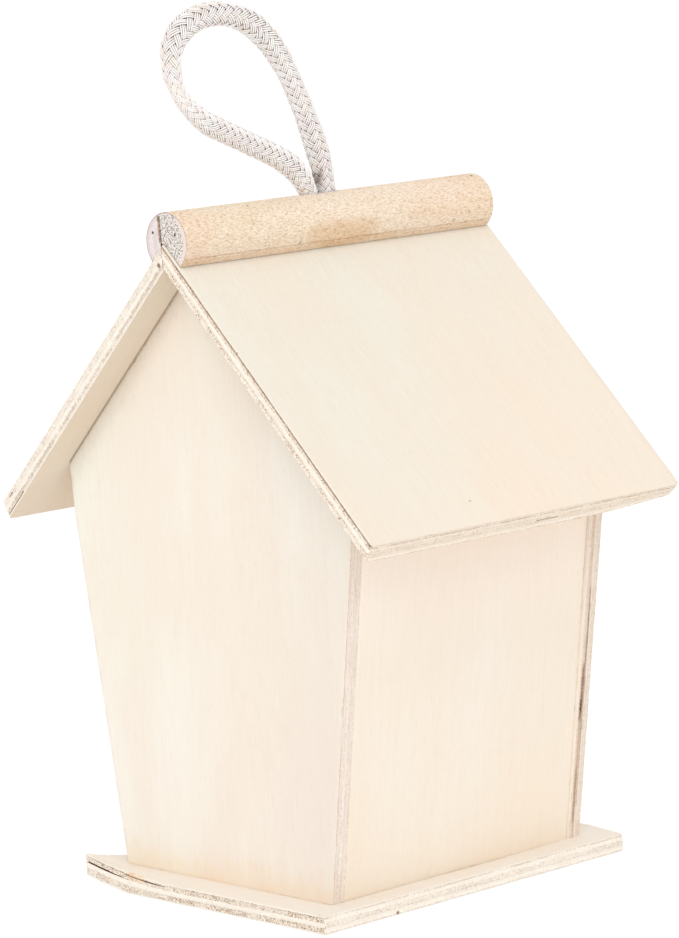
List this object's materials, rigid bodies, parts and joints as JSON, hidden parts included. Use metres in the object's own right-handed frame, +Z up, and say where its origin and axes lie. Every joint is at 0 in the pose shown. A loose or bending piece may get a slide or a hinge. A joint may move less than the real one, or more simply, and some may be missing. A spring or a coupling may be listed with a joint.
{
  "type": "birdhouse",
  "caption": "Small unpainted plywood gable birdhouse with outward-leaning walls, a base plate, a 45 degree roof, a ridge dowel, a perch and a braided rope loop to hang it by.",
  "frame": {"origin": "middle of the base plate's underside, which rests on the table", "axes": "+Z up; the entrance faces -Y and the ridge runs along Y; the left roof panel is at +X"},
  "size_m": [0.1512, 0.1326, 0.2453],
  "materials": {
    "plywood": "raw, sanded",
    "dowel_wood": "raw, sanded",
    "cotton_rope": "matte, braided"
  },
  "bodies": {
    "root": {"base_plate": "plywood", "back_panel": "plywood", "front_panel": "plywood", "left_wall": "plywood", "right_wall": "plywood", "left_roof_panel": "plywood", "right_roof_panel": "plywood", "ridge_dowel": "dowel_wood", "perch_dowel": "dowel_wood", "rope_end_front": "cotton_rope", "rope_end_back": "cotton_rope"},
    "loop": {"hanging_loop": "cotton_rope"}
  },
  "joints": [
    {"name": "loop_sway", "type": "hinge", "parent": "root", "child": "loop", "pos_m": [0.001, 0.003, 0.197], "axis": [0, 1, 0], "range_deg": [-75, 75], "stiffness_Nm_per_rad": 0.02}
  ]
}
